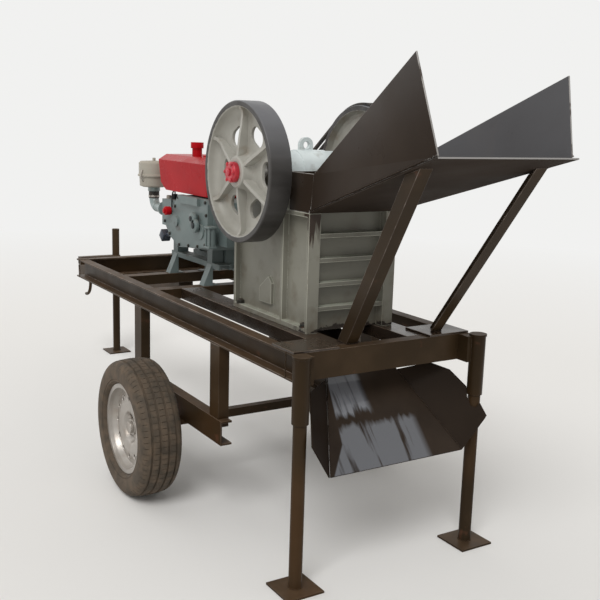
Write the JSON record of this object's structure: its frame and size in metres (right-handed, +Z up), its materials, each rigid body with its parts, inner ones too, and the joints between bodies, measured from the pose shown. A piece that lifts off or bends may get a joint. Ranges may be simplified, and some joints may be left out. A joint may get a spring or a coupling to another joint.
{
  "type": "jaw crusher",
  "caption": "Towable jaw crusher: toothed jaws between spoked flywheels, belt-driven by a single-cylinder engine, with a feed hopper and a discharge chute on a wheeled frame.",
  "frame": {"origin": "on the ground, on the centreline, midway between the rear prop leg's foot and the hopper's lip", "axes": "+X towards the hopper and discharge end, +Y towards the belt side, +Z up"},
  "size_m": [4.0004, 1.296, 1.8246],
  "materials": {
    "frame_paint": "gloss",
    "sheet_paint": "gloss",
    "crusher_paint": "satin",
    "flywheel_paint": "satin",
    "jaw_steel": "rough",
    "shaft_steel": "machined",
    "hub_red": "gloss",
    "tyre": "matte",
    "rim": "satin",
    "engine_paint": "gloss",
    "tank_red": "gloss",
    "cleaner_paint": "satin",
    "pulley_iron": "rough",
    "belt_rubber": "matte"
  },
  "bodies": {
    "chassis": {"side_rails": "frame_paint", "end_rails": "frame_paint", "crusher_bearers": "frame_paint", "engine_cross_members": "frame_paint", "corner_plates": "frame_paint", "axle_posts": "frame_paint", "axle_beams": "frame_paint", "axle": "frame_paint", "front_leg_sleeves": "frame_paint", "front_legs": "frame_paint", "drawbar": "frame_paint", "tow_hook": "frame_paint", "prop_leg_arm": "frame_paint", "side_frames": "crusher_paint", "front_wall": "crusher_paint", "rear_wall": "crusher_paint", "fixed_jaw": "jaw_steel", "swing_jaw": "crusher_paint", "swing_jaw_plate": "jaw_steel", "cheek_plates": "jaw_steel", "bearing_housings": "crusher_paint", "toggle_plate": "jaw_steel", "tension_rod": "shaft_steel", "hopper_floor": "sheet_paint", "hopper_wings": "sheet_paint", "throat": "sheet_paint", "hopper_struts": "frame_paint", "chute_floor": "sheet_paint", "chute_sides": "sheet_paint", "engine_block": "engine_paint", "gear_cover": "engine_paint", "fuel_tank": "tank_red", "air_cleaner": "cleaner_paint", "intake_elbow": "engine_paint", "engine_stand": "engine_paint", "engine_pulley": "pulley_iron", "drive_belt": "belt_rubber"},
    "rotor": {"eccentric_shaft": "shaft_steel", "flywheels": "flywheel_paint", "hub_caps": "hub_red"},
    "near_wheel": {"near_tyre": "tyre", "near_rim": "rim"},
    "far_wheel": {"far_tyre": "tyre", "far_rim": "rim"},
    "prop": {"prop_leg": "frame_paint"}
  },
  "joints": [
    {"name": "rotor_spin", "type": "hinge", "parent": "chassis", "child": "rotor", "pos_m": [0.866, 0, 1.4215], "axis": [0, 1, 0], "continuous": true},
    {"name": "near_wheel_spin", "type": "hinge", "parent": "chassis", "child": "near_wheel", "pos_m": [0.429, -0.558, 0.298], "axis": [0, 1, 0], "continuous": true},
    {"name": "far_wheel_spin", "type": "hinge", "parent": "chassis", "child": "far_wheel", "pos_m": [0.429, 0.558, 0.298], "axis": [0, 1, 0], "continuous": true},
    {"name": "prop_leg_slide", "type": "slide", "parent": "chassis", "child": "prop", "axis": [0, 0, 1], "range_m": [0, 0.4]}
  ]
}
